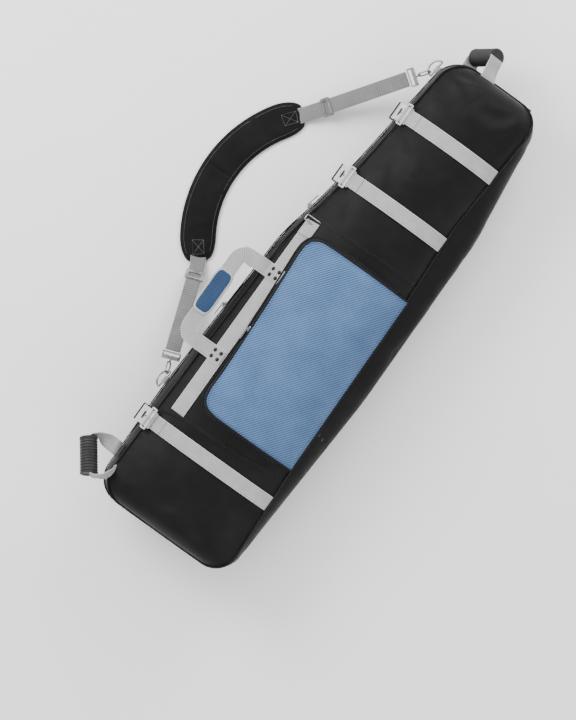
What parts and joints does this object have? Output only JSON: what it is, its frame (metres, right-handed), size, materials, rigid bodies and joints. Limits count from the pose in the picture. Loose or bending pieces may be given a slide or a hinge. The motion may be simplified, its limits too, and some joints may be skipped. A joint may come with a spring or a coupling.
{
  "type": "golf travel case",
  "caption": "Soft wheeled travel case for a golf bag, with a zipped front, a zipped front pocket, compression straps, carry handles and a padded shoulder strap.",
  "frame": {"origin": "on the flat back panel that the case lies on, halfway along its length, on its centre line", "axes": "+X along the case from the wheel end to the top end, +Y towards the zipper side, +Z out through the front panel"},
  "size_m": [1.4346, 0.66, 0.302],
  "materials": {
    "black_fabric": "woven polyester",
    "black_trim": "woven tape and piping",
    "foam_lining": "laminated foam",
    "grey_webbing": "ribbed webbing",
    "strap_webbing": "herringbone webbing",
    "blue_fabric": "twill weave",
    "blue_grip": "padded twill",
    "board_plastic": "moulded board",
    "black_plastic": "moulded nylon",
    "grey_plastic": "moulded nylon",
    "grip_rubber": "ribbed rubber",
    "wheel_tyre": "cast polyurethane",
    "wheel_hub": "glass-filled nylon",
    "steel": "plated steel",
    "silver_metal": "nickel plate",
    "black_rivet": "black lacquer"
  },
  "bodies": {
    "case_base": {"back_shell": "black_fabric", "back_padding": "foam_lining", "base_board": "board_plastic", "zipper_tape_base": "black_trim", "wheel_housing_left": "black_plastic", "wheel_housing_right": "black_plastic", "wheel_axles": "steel", "buckle_receivers": "black_plastic", "receiver_webbing": "black_trim", "ring_tabs": "black_trim", "tie_down_straps": "black_trim", "top_grab_tabs": "grey_webbing"},
    "front_cover": {"front_shell": "black_fabric", "front_padding": "foam_lining", "front_piping": "black_trim", "zipper_tape_cover": "black_trim", "side_webbing": "grey_webbing", "handle_rivets": "black_rivet", "compression_strap_lower": "grey_webbing", "compression_strap_middle": "grey_webbing", "compression_strap_upper": "grey_webbing", "buckle_plugs": "grey_plastic", "pocket_zipper_tape": "black_trim", "bottom_grab_tabs": "grey_webbing"},
    "pocket_flap": {"pocket_shell": "blue_fabric", "pocket_piping": "black_trim"},
    "wheel_left": {"wheel_left_tyre": "wheel_tyre", "wheel_left_hub": "wheel_hub", "wheel_left_bearings": "steel"},
    "wheel_right": {"wheel_right_tyre": "wheel_tyre", "wheel_right_hub": "wheel_hub", "wheel_right_bearings": "steel"},
    "top_grab": {"top_grab_webbing": "grey_webbing", "top_grab_grip": "grip_rubber"},
    "bottom_grab": {"bottom_grab_webbing": "grey_webbing", "bottom_grab_grip": "grip_rubber"},
    "carry_handle_front": {"front_handle_webbing": "grey_webbing", "handle_wrap": "blue_grip", "handle_binding": "grey_webbing"},
    "carry_handle_rear": {"rear_handle_webbing": "grey_webbing"},
    "main_slider_upper": {"main_slider_upper": "silver_metal"},
    "main_pull_upper": {"main_pull_upper": "silver_metal"},
    "main_slider_lower": {"main_slider_lower": "silver_metal"},
    "main_pull_lower": {"main_pull_lower": "silver_metal"},
    "pocket_slider": {"pocket_slider": "silver_metal"},
    "pocket_pull": {"pocket_pull": "silver_metal"},
    "shoulder_strap": {"ring_upper": "silver_metal", "ring_lower": "silver_metal", "swivel_eye_upper": "silver_metal", "swivel_eye_lower": "silver_metal", "strap_webbing_upper": "strap_webbing", "strap_webbing_lower": "strap_webbing", "shoulder_pad": "black_fabric"},
    "adjuster_upper": {"adjuster_upper": "silver_metal"},
    "adjuster_lower": {"adjuster_lower": "silver_metal"},
    "hook_upper": {"hook_upper": "silver_metal"},
    "hook_lower": {"hook_lower": "silver_metal"},
    "gate_upper": {"gate_upper": "silver_metal"},
    "gate_lower": {"gate_lower": "silver_metal"}
  },
  "joints": [
    {"name": "cover_hinge", "type": "hinge", "parent": "case_base", "child": "front_cover", "pos_m": [0, -0.2006, 0.165], "axis": [1, 0, 0], "range_deg": [0, 100]},
    {"name": "pocket_hinge", "type": "hinge", "parent": "front_cover", "child": "pocket_flap", "pos_m": [-0.123, -0.1455, 0.2125], "axis": [1, 0, 0], "range_deg": [0, 95]},
    {"name": "wheel_left_spin", "type": "hinge", "parent": "case_base", "child": "wheel_left", "pos_m": [-0.634, 0.15, 0.0336], "axis": [0, 1, 0], "continuous": true},
    {"name": "wheel_right_spin", "type": "hinge", "parent": "case_base", "child": "wheel_right", "pos_m": [-0.634, -0.11, 0.0336], "axis": [0, 1, 0], "continuous": true},
    {"name": "top_grab_swing", "type": "hinge", "parent": "case_base", "child": "top_grab", "pos_m": [0.67843, 0.03877, 0.14496], "axis": [-0.2501, 0.4501, -0.8572], "range_deg": [-20, 3]},
    {"name": "bottom_grab_swing", "type": "hinge", "parent": "front_cover", "child": "bottom_grab", "pos_m": [-0.59559, 0.22766, 0.22334], "axis": [0.7671, 0.5778, -0.2789], "range_deg": [-15, 20]},
    {"name": "front_handle_swing", "type": "hinge", "parent": "front_cover", "child": "carry_handle_front", "pos_m": [-0.126, 0.178, 0.23], "axis": [1, 0, 0], "range_deg": [0, 95]},
    {"name": "rear_handle_swing", "type": "hinge", "parent": "case_base", "child": "carry_handle_rear", "pos_m": [-0.126, 0.214, 0.116], "axis": [1, 0, 0], "range_deg": [-45, 0]},
    {"name": "main_slider_upper_slide", "type": "slide", "parent": "front_cover", "child": "main_slider_upper", "axis": [0.9764, -0.2159, 0], "range_m": [-0.085, 0.018]},
    {"name": "main_pull_upper_swing", "type": "hinge", "parent": "main_slider_upper", "child": "main_pull_upper", "pos_m": [0.18027, 0.18748, 0.165], "axis": [0, 0, 1], "range_deg": [0, 150]},
    {"name": "main_slider_lower_slide", "type": "slide", "parent": "front_cover", "child": "main_slider_lower", "axis": [0.9992, -0.0402, 0], "range_m": [-0.18, 0]},
    {"name": "main_pull_lower_swing", "type": "hinge", "parent": "main_slider_lower", "child": "main_pull_lower", "pos_m": [-0.13558, 0.21667, 0.165], "axis": [0, 0, -1], "range_deg": [0, 30]},
    {"name": "pocket_slider_slide", "type": "slide", "parent": "front_cover", "child": "pocket_slider", "axis": [1, 0, 0], "range_m": [-0.12, 0.12]},
    {"name": "pocket_pull_swing", "type": "hinge", "parent": "pocket_slider", "child": "pocket_pull", "pos_m": [-0.15, 0.1318, 0.25662], "axis": [0, 0, -1], "range_deg": [0, 90]},
    {"name": "strap_swing", "type": "hinge", "parent": "case_base", "child": "shoulder_strap", "pos_m": [-0.369, 0.225, 0.128], "axis": [0.9951, -0.0986, 0], "range_deg": [0, 80]},
    {"name": "adjuster_upper_slide", "type": "slide", "parent": "shoulder_strap", "child": "adjuster_upper", "axis": [-0.7593, 0.5618, -0.3284], "range_m": [-0.15, 0.03]},
    {"name": "adjuster_lower_slide", "type": "slide", "parent": "shoulder_strap", "child": "adjuster_lower", "axis": [0.8749, 0.3197, -0.3638], "range_m": [-0.15, 0.015]},
    {"name": "hook_upper_swivel", "type": "hinge", "parent": "shoulder_strap", "child": "hook_upper", "pos_m": [0.6133, 0.13836, 0.12078], "axis": [-0.7593, 0.5618, -0.3284], "range_deg": [-30, 30]},
    {"name": "hook_lower_swivel", "type": "hinge", "parent": "shoulder_strap", "child": "hook_lower", "pos_m": [-0.34975, 0.23203, 0.12], "axis": [0.8749, 0.3197, -0.3638], "range_deg": [-30, 30]},
    {"name": "gate_upper_swing", "type": "hinge", "parent": "hook_upper", "child": "gate_upper", "pos_m": [0.59918, 0.153, 0.1203], "axis": [0.6484, 0.6103, -0.4552], "range_deg": [0, 15], "stiffness_Nm_per_rad": 0.02},
    {"name": "gate_lower_swing", "type": "hinge", "parent": "hook_lower", "child": "gate_lower", "pos_m": [-0.33258, 0.2428, 0.11825], "axis": [0.4798, -0.6745, 0.5611], "range_deg": [0, 15], "stiffness_Nm_per_rad": 0.02}
  ]
}
